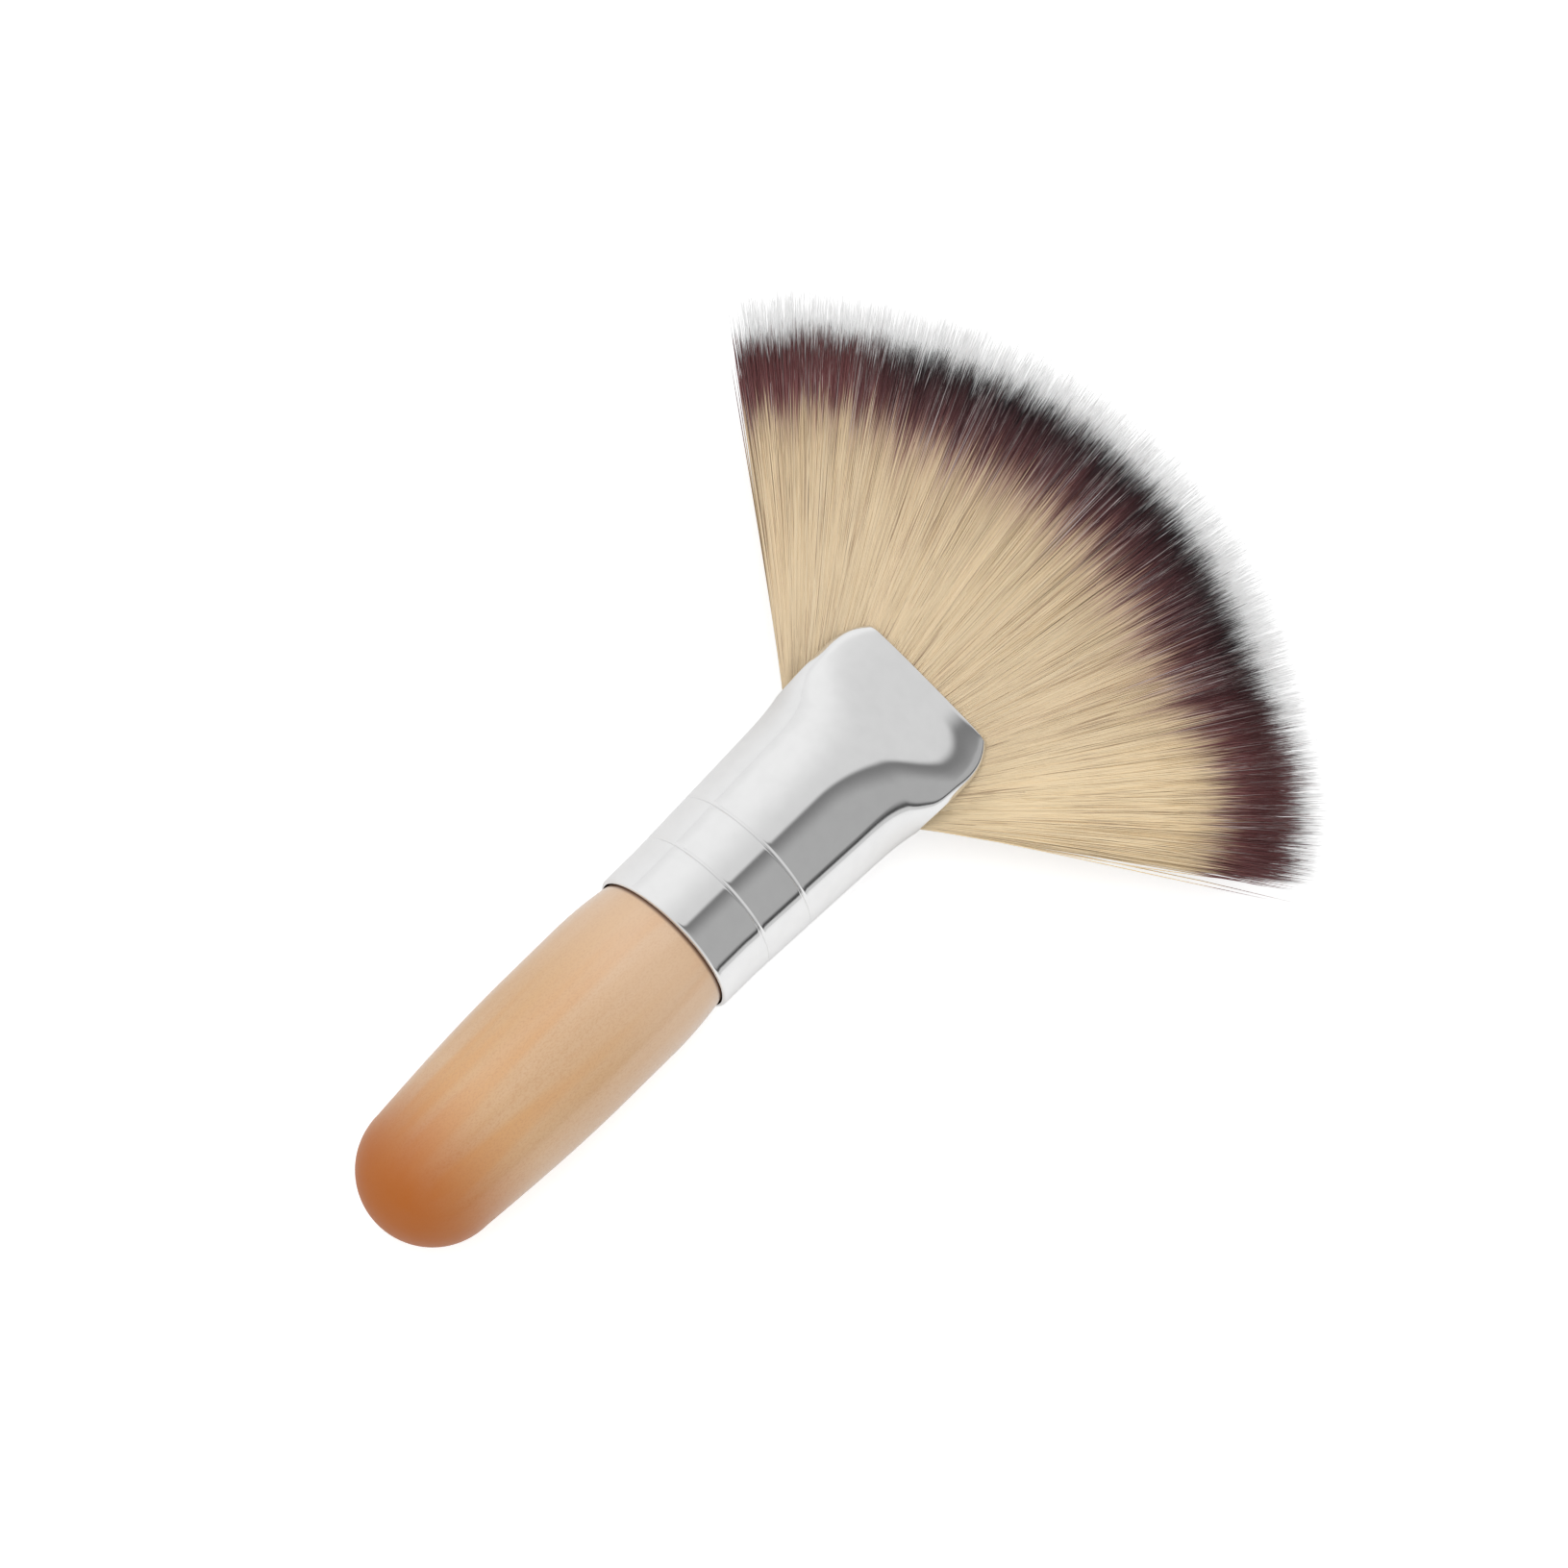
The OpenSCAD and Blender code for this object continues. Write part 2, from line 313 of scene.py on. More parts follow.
def add_camera():
    """back = (sin a cos e, -cos a cos e, sin e), and right turned about it by the roll."""
    a, e = CAMERA_AZIMUTH, CAMERA_ELEVATION
    back = Vector((math.sin(a) * math.cos(e), -math.cos(a) * math.cos(e), math.sin(e)))
    level = Vector((math.cos(a), math.sin(a), 0))
    right = math.cos(CAMERA_ROLL) * level + math.sin(CAMERA_ROLL) * back.cross(level)
    turn = Matrix((right, back.cross(right), back)).transposed()
    data = bpy.data.cameras.new("camera")
    data.lens = CAMERA_LENS
    data.sensor_width = SENSOR_WIDTH
    data.clip_start = CLIP_START
    camera = bpy.data.objects.new("camera", data)
    camera.matrix_world = Matrix.Translation(AIM + CAMERA_DISTANCE * back) @ turn.to_4x4()
    bpy.context.scene.collection.objects.link(camera)
    bpy.context.scene.camera = camera


# The studio: a white floor, a white room, a large soft lamp and a weak strip lamp for the handle

KEY_SIZE = 0.9
KEY_PLACE = Vector((-0.3, -0.15, 0.9))
KEY_POWER = 3.4
STRIP_PLACE = Vector((-0.61, 0.21, 0.47))
STRIP_AIM = Vector((0, -0.03, 0.007))
STRIP_LEN = 0.4
STRIP_W = 1.0
STRIP_POWER = 0.3

FLOOR_HALF = 1.5
FLOOR_COLOUR = 0.8
FLOOR_LIFT = 0.5
MIRRORED_LIFT_LEFT = 0.04
MIRRORED_LIFT_RIGHT = 0.13
FLOOR_CHANGE = (-0.02, 0.02)

# How bright the room is, and what the metal mirrors of it. Ranges and edges are of a direction's x, y and
# z, or of its share along WALL_SIDE.
ROOM_LIGHT = 0.85
CANOPY_WHITE = 0.99
CANOPY_GREY = 0.76
CANOPY_SIDE = -0.05
CANOPY_CHANGE = 0.75
CANOPY_FOOT = 0.3
CANOPY_FOOT_SHADE = 0.08
WALL_SIDE = (1.0, -0.25, 0.0)
WALL_EDGE = 0.01
WALL_EDGE_BLUR = (-0.05, 0.04)
WALL_END = (-0.6, -0.35)
WALL_FOOT = (0.08, 0.1)
WALL_CHANGE = 0.42
WALL_DARK = 0.2
WALL_GREY = 0.46
JOINT_DARK = 0.05
JOINT_TOP = (0.13, 0.24)


def ray_kinds(tree):
    """Two signals: 1 for rays from the camera or through clear things, and 1 for rays from a gloss."""
    camera = tree.node("ShaderNodeLightPath")
    outputs = camera.socket.node.outputs
    through = Signal(tree, outputs["Is Transmission Ray"])
    glossy = Signal(tree, outputs["Is Glossy Ray"])
    return camera.larger(through), glossy


def add_surroundings():
    """The room lights the object evenly. What shines shows white above and to the left, a grey wall to
    the right with a soft upper edge, and a dark joint where that wall meets the white table."""
    world = bpy.data.worlds.new("studio")
    bpy.context.scene.world = world
    tree = Tree(world)
    way = tree.node("ShaderNodeTexCoord", output="Generated")
    across, ahead, height = tree.parts(way)
    side = tree.node("ShaderNodeVectorMath", {"operation": "DOT_PRODUCT"}, {0: way, 1: WALL_SIDE}, "Value")
    blur_low, blur_high = WALL_EDGE_BLUR
    walled = side.step(WALL_EDGE + blur_low, WALL_EDGE + blur_high) * ahead.step(*WALL_END)
    above = height.step(*WALL_FOOT)
    wall = WALL_DARK + (WALL_GREY - WALL_DARK) * side.step(WALL_EDGE, WALL_EDGE + WALL_CHANGE)
    wall = JOINT_DARK + (wall - JOINT_DARK) * height.step(*JOINT_TOP)
    leftward = CANOPY_SIDE - across
    canopy = CANOPY_GREY + (CANOPY_WHITE - CANOPY_GREY) * leftward.step(0, CANOPY_CHANGE)
    canopy = canopy - CANOPY_FOOT_SHADE * (1 - height.step(0, CANOPY_FOOT))
    mirrored = canopy + (wall - canopy) * walled * above
    camera, glossy = ray_kinds(tree)
    strength = ROOM_LIGHT + (mirrored - ROOM_LIGHT) * glossy
    strength = strength + (1 - strength) * camera
    light = tree.node("ShaderNodeBackground", inputs={"Color": (1, 1, 1, 1), "Strength": strength})
    tree.node("ShaderNodeOutputWorld", inputs={"Surface": light})


def add_floor():
    """A square sheet at z = 0. Its glow is seen and mirrored, but adds no light. What shines shows
    the sheet a little darker to the left of the brush than to its right."""
    h = FLOOR_HALF
    corners = np.array([[-h, -h, 0], [h, -h, 0], [h, h, 0], [-h, h, 0]])
    mesh = bpy.data.meshes.new("floor")
    mesh.from_pydata(corners.tolist(), [], [(0, 1, 2, 3)])
    floor = bpy.data.objects.new("floor", mesh)
    bpy.context.scene.collection.objects.link(floor)
    material = bpy.data.materials.new("white_floor")
    tree = Tree(material)
    matt = tree.node("ShaderNodeBsdfDiffuse", inputs={"Color": opaque((FLOOR_COLOUR,) * 3)})
    right = tree.parts(tree.object_place())[0].step(*FLOOR_CHANGE)
    camera, glossy = ray_kinds(tree)
    mirrored = MIRRORED_LIFT_LEFT + (MIRRORED_LIFT_RIGHT - MIRRORED_LIFT_LEFT) * right
    lift = (FLOOR_LIFT * camera).larger(mirrored * glossy)
    glow = tree.node("ShaderNodeEmission", inputs={"Strength": lift})
    both = tree.node("ShaderNodeAddShader", inputs={0: matt, 1: glow})
    tree.node("ShaderNodeOutputMaterial", inputs={"Surface": both})
    mesh.materials.append(material)


def aimed_lamp(name, place, aim, width, height, power):
    data = bpy.data.lights.new(name, "AREA")
    data.shape = "RECTANGLE"
    data.size = width
    data.size_y = height
    data.energy = power
    lamp = bpy.data.objects.new(name, data)
    lamp.location = place
    lamp.rotation_euler = (aim - place).to_track_quat("-Z", "Y").to_euler()
    bpy.context.scene.collection.objects.link(lamp)
    return lamp


def add_lamps(handle):
    """A large softbox above the brush, which isn't seen in the metal, and a strip beside it, which only
    draws the satin stripe along the handle."""
    softbox = aimed_lamp("softbox", KEY_PLACE, AIM, KEY_SIZE, KEY_SIZE, KEY_POWER)
    softbox.visible_glossy = False
    strip = aimed_lamp("strip", STRIP_PLACE, STRIP_AIM, STRIP_LEN, STRIP_W, STRIP_POWER)
    strip.visible_diffuse = False
    strip.visible_camera = False
    lit = bpy.data.collections.new("satin_handle")
    lit.objects.link(handle)
    strip.light_linking.receiver_collection = lit


# The handle

def handle_profile(dome_rows=30, swell_rows=40, shoulder_rows=30, tenon_rows=12):
    """Points (radius, y) from the butt's pole to the tenon's end: a quarter circle, a quarter sine up to
    the grip, a parabola down to the lip, the tenon and its chamfer."""
    butt_y = BUTT_R - HANDLE_LEN
    grip_back = -GRIP_SETBACK - GRIP_LEN
    q = np.linspace(0, math.pi / 2, dome_rows)
    dome = np.stack([BUTT_R * np.sin(q), butt_y - BUTT_R * np.cos(q)], axis=1)
    s = np.linspace(0, 1, swell_rows)[1:]
    swell = np.stack([BUTT_R + (BARREL_R - BUTT_R) * np.sin(s * math.pi / 2),
                      butt_y + (grip_back - butt_y) * s], axis=1)
    s = np.linspace(0, 1, shoulder_rows)
    shoulder = np.stack([BARREL_R - (BARREL_R - TENON_R) * s ** 2, GRIP_SETBACK * (s - 1)], axis=1)
    s = np.linspace(0, 1, tenon_rows)[1:]
    tenon = np.stack([np.full_like(s, TENON_R), (TENON_LEN - TENON_CHAMFER) * s], axis=1)
    end = np.array([[TENON_R - TENON_CHAMFER, TENON_LEN], [TENON_R / 2, TENON_LEN], [0, TENON_LEN]])
    return np.concatenate([dome, swell, shoulder, tenon, end])


def lathe(name, profile, columns=160):
    """A profile of (radius, y) turned about the axis: (r cos a, y, r sin a), with a fan of triangles at
    each pole."""
    a = np.linspace(0, 2 * math.pi, columns, endpoint=False)
    r, y = profile[1:-1, 0, None], profile[1:-1, 1, None]
    rings = np.stack(np.broadcast_arrays(r * np.cos(a), y, r * np.sin(a)), axis=-1)
    points = np.concatenate([rings.reshape(-1, 3), [[0, profile[0, 1], 0], [0, profile[-1, 1], 0]]])
    rows = len(profile) - 2
    return mesh_piece(name, laid_down(points), grid_quads(rows, columns), pole_caps(rows, columns))


WOOD_PALE = linear(204, 170, 135)
WOOD_WARM = linear(200, 159, 112)
BAND_SCALES = (210, 22, 210)
BAND_RANGE = (0.35, 0.68)

# The grain's layers: scales along x, y and z, detail, the noise range where it shows, strength and colour
GRAINS = {
    "streaks": ((420, 14, 420), 1.0, (0.56, 0.72), 0.6, linear(204, 150, 92)),
    "fibres": ((3200, 190, 3200), 2.0, (0.4, 0.75), 0.22, linear(200, 156, 114)),
    "flecks": ((3400, 1100, 3400), 2.0, (0.55, 0.7), 0.18, linear(190, 138, 94)),
    "pores": ((9000, 4500, 9000), 1.0, (0.45, 0.7), 0.4, linear(184, 138, 98)),
}

# Zones along the handle: a painted highlight towards the lip, a dark seam, and the butt, darker partly by
# painted shade. The butt's edge wanders with the broad bands.
PAINTED_LIP_HIGHLIGHT_LEN = 16 * MM
BUTT_ZONE = (handle_low.y + 3 * MM, handle_low.y + 16 * MM)
BUTT_WANDER = 4 * MM
SEAM_ZONE = (0.1 * MM, 0.45 * MM)


def wood_finish():
    """Pale close-grained wood under a satin lacquer. The grain runs along y: broad soft bands, warm
    streaks, fine fibres, short darker flecks and pores. The wood is paler towards the ferrule, a painted
    highlight, and dark in the seam against it. At the butt it is darker and warmer, partly end grain that
    takes up more lacquer and partly painted shade."""
    material = bpy.data.materials.new("lacquered_wood")
    tree = Tree(material)
    place = tree.object_place()
    bands = tree.grain(place, BAND_SCALES, detail=3.0)
    base = tree.mix(bands.step(*BAND_RANGE), WOOD_PALE, WOOD_WARM)
    grains = {}
    for name, (scales, detail, shown, strength, colour) in GRAINS.items():
        grains[name] = tree.grain(place, scales, detail)
        base = tree.mix(grains[name].step(*shown) * strength, base, colour)
    y = tree.parts(place)[1]
    # Painted highlight: the wood turns paler towards the ferrule, standing for the lacquer's reflection
    # there.
    painted_lip_highlight = y.step(LIP_Y - PAINTED_LIP_HIGHLIGHT_LEN, LIP_Y)
    base = tree.mix(painted_lip_highlight * 0.35, base, linear(226, 202, 180))
    # The butt turns darker and warmer: partly end grain under more lacquer, partly painted shade.
    butt = 1 - (y + BUTT_WANDER * bands).step(*BUTT_ZONE)
    base = tree.mix(butt * 0.95, base, linear(168, 90, 22))
    seam = 1 - abs(y - LIP_Y).step(*SEAM_ZONE)
    base = tree.mix(seam * 0.85, base, linear(84, 46, 26))
    height = grains["fibres"] + grains["flecks"]
    bump = tree.node("ShaderNodeBump", inputs={"Strength": 0.08, "Distance": 0.1 * MM, "Height": height})
    tree.surface(Base_Color=base, Roughness=0.5 + 0.1 * bands, Normal=bump, Specular_IOR_Level=0.2,
                 Coat_Weight=1 - 0.85 * butt, Coat_Roughness=0.16, Coat_IOR=1.55)
    return material


def add_handle():
    handle = lathe("turned_handle", handle_profile())
    handle.data.materials.append(wood_finish())
    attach(handle, "root")
    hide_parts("handle")
    return handle


# The ferrule

def pressed(y):
    """Share of the pressing done at y: the smooth step of (y - start) / length, to the power 1.5."""
    return smooth((y - PRESS_Y) / PRESS_LEN) ** 1.5


def flared_r(y):
    return FERRULE_R + FLARE * np.maximum(0, y - FLARE_START)


def tube_half_w(y):
    """The flared radius, growing to the pressed oval's half width with pressed^1.5."""
    return flared_r(y) + (MOUTH_OVAL_W / 2 - flared_r(FERRULE_LEN)) * pressed(y) ** 1.5


def tube_half_t(y):
    """The round tube's radius, coming down to half the mouth's thickness as it is pressed."""
    return FERRULE_R - (FERRULE_R - MOUTH_T / 2) * pressed(y)


def tongue_half_w(y):
    """The tube's half width at the notch's bottom, plus a sine swell, less a cubic at the corner."""
    side = tube_half_w(NOTCH_Y)
    rise = (y - NOTCH_Y) / NOTCH_DEPTH
    corner = np.maximum(0, y - (FERRULE_LEN - CORNER_LEN)) / CORNER_LEN
    return side + TONGUE_SWELL * np.sin(math.pi * rise) - (side - MOUTH_W / 2) * corner ** 3


def inset(y):
    """How far the outside lies below the plain tube: a quarter circle at the lip, a raised cosine at
    each crimp."""
    low = np.clip(LIP_ROUND - y, 0, LIP_ROUND)
    depth = LIP_ROUND - np.sqrt(LIP_ROUND ** 2 - low ** 2)
    for height in CRIMP_HEIGHTS:
        near = np.abs(y - height) < CRIMP_W / 2
        depth = depth + near * CRIMP_DEPTH * (1 + np.cos(2 * math.pi * (y - height) / CRIMP_W)) / 2
    return depth


def bulge(angle, y):
    """Height of the tube's section at an angle, as a share of its half thickness: (1 - |cos|^p)^(1/p),
    where p grows from 2, a true oval, on the tongues, which are pressed flatter in the middle."""
    p = OVAL_POWER + (TONGUE_POWER - OVAL_POWER) * smooth((y - NOTCH_Y) / FLATTEN_LEN)
    return np.sign(np.sin(angle)) * (1 - np.abs(np.cos(angle)) ** p) ** (1 / p)


def edge_roll(x, y):
    """How far a tongue's side edges are bent in: a parabola over the last stretch to the edge."""
    to_edge = tongue_half_w(np.clip(y, NOTCH_Y, FERRULE_LEN)) - np.abs(x)
    near = np.clip(1 - to_edge / EDGE_ROLL_W, 0, 1)
    return EDGE_ROLL * near ** 2 * smooth((y - NOTCH_Y - EDGE_ROLL_START) / EDGE_ROLL_LEN)


def ferrule_columns(notch_steps=48, tongue_steps=40):
    """Angle and top height of each column round the tube: a quarter, up the edge of the notch and along
    the mouth to the tongue's middle, and its three mirror images."""
    y = NOTCH_Y + NOTCH_DEPTH * np.linspace(0, 1, notch_steps + 1) ** 1.6
    edge = np.arccos(np.minimum(1, tongue_half_w(y) / tube_half_w(y)))
    along = edge[-1] + (math.pi / 2 - edge[-1]) * np.linspace(0, 1, tongue_steps + 1)[1:] ** 1.3
    angle = np.concatenate([edge, along])
    top = np.concatenate([y, np.full(tongue_steps, FERRULE_LEN)])
    angles = [angle, math.pi - angle[-2:0:-1], math.pi + angle, 2 * math.pi - angle[-2:0:-1]]
    tops = [top, top[-2:0:-1], top, top[-2:0:-1]]
    return np.concatenate(angles), np.concatenate(tops)


def ferrule_points(lip_rows=7, crimp_rows=15, plain_rows=40, press_rows=70, rim_rows=8, bore_rows=12):
    """Rings up the outside, over the rim and down the bore: (w cos a, y, t bulge(a)) with the half width w
    and half thickness t less the inset. The rim is a half circle across the wall."""
    angle, top = ferrule_columns()
    lip = LIP_ROUND * (1 - np.cos(np.linspace(0, math.pi / 2, lip_rows)))
    crimps = [height + CRIMP_W * np.linspace(-0.5, 0.5, crimp_rows) for height in CRIMP_HEIGHTS]
    plain = np.linspace(PLAIN_START, PRESS_Y, plain_rows)
    plain = plain[np.all([np.abs(plain - h) > CRIMP_W * 0.6 for h in CRIMP_HEIGHTS], axis=0)]
    low = np.unique(np.concatenate([lip, *crimps, plain]))[:-1]
    edge = top - WALL / 2
    share = np.linspace(0, 1, press_rows)[:, None]
    outer_y = np.concatenate([np.broadcast_to(low[:, None], (len(low), len(angle))),
                              PRESS_Y + (edge - PRESS_Y) * share])
    q = np.linspace(0, math.pi, rim_rows)[1:-1, None]
    rim_y = edge + WALL / 2 * np.sin(q)
    bore_low = np.linspace(PRESS_Y, 0, bore_rows)[1:, None]
    bore_y = np.concatenate([PRESS_Y + (edge - PRESS_Y) * share[::-2],
                             np.broadcast_to(bore_low, (len(bore_low), len(angle)))])
    heights = np.concatenate([outer_y, rim_y, bore_y])
    depths = np.concatenate([inset(outer_y), np.broadcast_to(WALL * (1 - np.cos(q)) / 2, rim_y.shape),
                             np.full_like(bore_y, WALL)])
    held = np.minimum(heights, top)
    x = (tube_half_w(held) - depths) * np.cos(angle)
    z = (tube_half_t(held) - depths) * bulge(angle, held)
    return np.stack([x, heights, z - np.sign(z) * edge_roll(x, held)], axis=-1)


METAL_BRIGHT = (0.845, 0.845, 0.845)
METAL_HAZED = (0.82, 0.82, 0.82)
SCRATCH_SCALES = (240, 5200, 240)


def metal_finish():
    """Bright drawn aluminium, close to a mirror: gentle waves, a breath of haze and hairlines round it."""
    material = bpy.data.materials.new("drawn_aluminium")
    tree = Tree(material)
    place = tree.object_place()
    waves = tree.noise(place, scale=90.0, detail=1.0)
    haze = tree.noise(place, scale=700.0, detail=3.0)
    scratches = tree.grain(place, SCRATCH_SCALES, detail=2.0).step(0.7, 0.78)
    height = waves * 0.6 + scratches * -0.004
    bump = tree.node("ShaderNodeBump", inputs={"Strength": 0.2, "Distance": 0.2 * MM, "Height": height})
    roughness = 0.07 + 0.04 * haze + 0.1 * scratches
    colour = tree.mix(haze.step(0.3, 0.8), METAL_BRIGHT, METAL_HAZED)
    tree.surface(Base_Color=colour, Metallic=1.0, Roughness=roughness, Normal=bump)
    return material


def add_ferrule():
    points = ferrule_points()
    rows, columns = points.shape[:2]
    quads = grid_quads(rows, columns, wrap_rows=True)
    ferrule = mesh_piece("pressed_ferrule", laid_down(points.reshape(-1, 3)), quads)
    ferrule.data.materials.append(metal_finish())
    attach(ferrule, "root")
    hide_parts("ferrule")


# The glue plug, hidden in the ferrule

def glue_finish():
    material = bpy.data.materials.new("amber_glue")
    tree = Tree(material)
    cloud = tree.noise(tree.object_place(), scale=600.0, detail=2.0)
    colour = tree.mix(cloud, linear(205, 160, 96), linear(186, 136, 74))
    tree.surface(Base_Color=colour, Roughness=0.25 + 0.1 * cloud)
    return material


def dress_glue_plug():
    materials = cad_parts["glue_plug"].data.materials
    materials.clear()
    materials.append(glue_finish())


# The space that the fan of filaments fills

def hair_half_w(y):
    return tube_half_w(y) - WALL - HAIR_GAP


def hair_half_t(y):
    return tube_half_t(y) - WALL - HAIR_GAP


FAN_START_W = float(hair_half_w(NOTCH_Y) - EDGE_GAP)
FAN_CENTRE = NOTCH_Y - FAN_START_W / math.tan(FAN_ANGLE)
FAN_RADIUS = FERRULE_LEN + FAN_REACH - FAN_CENTRE


def fan_half_t(x, y):
    """The space between the tongues, an oval, and past their edge an even growth to the tips."""
    edge_y = np.minimum(y, FERRULE_LEN)
    edge_x = np.minimum(np.abs(x), tongue_half_w(edge_y))
    held_w = hair_half_w(edge_y) - EDGE_GAP
    oval = hair_half_t(edge_y) * np.sqrt(np.maximum(0, 1 - (edge_x / held_w) ** 2))
    held = np.maximum(FAN_ROOT_T / 2, oval)
    free = np.hypot(np.abs(x) - edge_x, y - edge_y)
    return held + (FAN_TIP_T / 2 - held) * np.minimum(1, free / FAN_REACH)


def furrow(across):
    """1 in the furrows between two locks and 0 on their ridges: cos^2 of half the locks' phase."""
    return np.cos(math.pi * LOCK_COUNT * (1 - across) / 2) ** 2


def tip_radius(across):
    return FAN_RADIUS - SIDE_DROP * across ** 2 - LOCK_DIP * furrow(across)


def exit_radius(angle, ray_count=120, step_count=500):
    """Distance from the fan's centre at which a ray leaves the tongues, found on a fine grid of rays."""
    rays = np.linspace(0, FAN_ANGLE * 1.1, ray_count)
    r = np.linspace(NOTCH_Y - FAN_CENTRE, FAN_RADIUS / 2, step_count)
    x, y = r * np.sin(rays[:, None]), FAN_CENTRE + r * np.cos(rays[:, None])
    inside = (y < FERRULE_LEN) & (x < tongue_half_w(np.minimum(y, FERRULE_LEN))) | (y < NOTCH_Y)
    return np.interp(np.abs(angle), rays, r[np.argmin(inside, axis=1)])


# The filaments

SEED = 7
STRAND_R = 0.058 * MM
STRAND_TIP_R = 0.005 * MM
TAPER_LEN = 7.5 * MM
TAPER_POWER = 1.3
ROOT_DEPTH = 2.5 * MM
ROOT_BELOW_NOTCH = 1 * MM

# How far the tips stand out: further at the fan's two ends and in its middle layers, and short by chance
END_SPREAD = 1.2 * MM
END_SPREAD_FROM = 0.55
END_SPREAD_OVER = 0.35
INNER_SPREAD = 0.9 * MM
INNER_SPREAD_TO = 0.95
INNER_SPREAD_OVER = 0.3
SHORT_BY = 0.8 * MM
SHORT_CHANCE = 0.6 * MM
SHORTEST = 3 * MM

# How the filaments stray from their rays. The angles are in degrees, at the tip or halfway out.
LOCK_PULL = 0.12
DRIFT = 0.36
EDGE_DRIFT = 0.5
BOW = 0.3
LIFT = 0.07 * MM
STRAY_SHARE = 0.05
STRAY_DRIFT = 2.5

# The filaments' map: along it the distance to the fan's end, across it the place in the fan
UV_MAP = "OFBake"
COLOUR_LEN = 50 * MM
MAP_HALF = 0.46
MAP_CHANCE = 0.0015
MAP_STRIP = 0.0007
DYE_SHIFT = 1.3 * MM
DYE_CHANCE = 0.9 * MM
DYE_SHIFT_LIMITS = (-0.5 * MM, 4 * MM)


def strand_tips(rng, across, layer):
    """The fan's end and each filament's own tip, as distances from the fan's centre. Outer layers end
    sooner, as on an ellipse: by the rounding's length times 1 - sqrt(1 - layer^2)."""
    end = tip_radius(across) + END_SPREAD * smooth((np.abs(across) - END_SPREAD_FROM) / END_SPREAD_OVER)
    tip = end - TIP_ROUND_LEN * (1 - np.sqrt(1 - np.minimum(layer ** 2, 0.98)))
    tip = tip - np.clip(rng.normal(SHORT_BY, SHORT_CHANCE, len(tip)), 0, SHORTEST)
    tip = tip + INNER_SPREAD * smooth((INNER_SPREAD_TO - np.abs(layer)) / INNER_SPREAD_OVER)
    return end, tip


def strand_paths(rng, count, layer_low, layer_high, side, shares):
    """Centre lines (count, nodes, 3) of filaments, the distances of each point to its own tip and to the
    fan's end, and each one's place across the fan. A filament leaves the bore and runs out along a ray
    at a share of the fan's half thickness: its layer, times sqrt(1 - |across|^7) towards the fan's sides.
    It drifts off the ray in proportion to its way out, and bows to one side by a half sine."""
    across = rng.uniform(-1, 1, count)
    across = across - LOCK_PULL / (math.pi * LOCK_COUNT) * np.sin(math.pi * LOCK_COUNT * (1 - across))
    layer = side * rng.uniform(layer_low, layer_high, count)
    edge = np.sqrt(np.clip(1 - np.abs(across) ** 7, 0.02, 1))
    angle = FAN_ANGLE * across
    end, tip = strand_tips(rng, across, layer)
    leave = exit_radius(angle)
    start = np.maximum((NOTCH_Y - ROOT_BELOW_NOTCH - FAN_CENTRE) / np.cos(angle), leave - ROOT_DEPTH)
    free = leave[:, None] + (tip - leave)[:, None] * np.array(shares)
    r = np.concatenate([start[:, None], free], axis=1)
    out = np.clip((r - leave[:, None]) / (tip - leave)[:, None], 0, 1)
    stray = 1 + STRAY_DRIFT * (rng.random(count) < STRAY_SHARE) * (1 - np.abs(across) ** 4)
    drift = np.radians(rng.normal(0, DRIFT + EDGE_DRIFT * np.abs(across) ** 6) * stray)[:, None] * out
    bow = np.radians(rng.normal(0, BOW, count))[:, None] * np.sin(math.pi * out)
    bearing = angle[:, None] + drift + bow
    x, y = r * np.sin(bearing), FAN_CENTRE + r * np.cos(bearing)
    ridge = 1 - LOCK_DEPTH * furrow(across)[:, None] * smooth(out)
    lift = rng.normal(0, LIFT, count)[:, None] * out ** 2
    z = (layer * edge)[:, None] * fan_half_t(x, y) * ridge + lift
    return np.stack([x, y, z], axis=-1), tip[:, None] - r, end[:, None] - r, across


def strand_rings(rng, paths, to_tip):
    """Three points round each point of the paths: path + r (cos a n + sin a b), where n is level and b
    stands on both. The radius r tapers over the last stretch to the tip by a power of the distance."""
    along = np.gradient(paths, axis=1)
    along /= np.linalg.norm(along, axis=-1, keepdims=True)
    level = np.cross(along, [0, 0, 1.0])
    level /= np.linalg.norm(level, axis=-1, keepdims=True)
    upright = np.cross(level, along)
    taper = np.clip(to_tip / TAPER_LEN, 0, 1) ** TAPER_POWER
    radius = STRAND_TIP_R + (STRAND_R - STRAND_TIP_R) * taper
    phase = rng.uniform(0, 2 * math.pi, len(paths))[:, None, None, None]
    a = phase + 2 * math.pi / 3 * np.arange(3)[None, None, :, None]
    turned = np.cos(a) * level[:, :, None] + np.sin(a) * upright[:, :, None]
    return paths[:, :, None] + radius[:, :, None, None] * turned


def strand_faces(count, nodes):
    """The quads along three-sided tubes with so many rings each, and a triangle at each of their ends."""
    base = 3 * nodes * np.arange(count)[:, None, None]
    k = np.arange(nodes - 1)[None, :, None]
    s = np.arange(3)[None, None, :]
    here, after = base + 3 * k + s, base + 3 * k + (s + 1) % 3
    quads = np.stack([here, after, after + 3, here + 3], axis=-1).reshape(-1, 4)
    first = base[:, 0, 0]
    last = first + 3 * (nodes - 1)
    ends = np.concatenate([np.stack([first, first + 2, first + 1], axis=1),
                           np.stack([last, last + 1, last + 2], axis=1)])
    return quads, ends


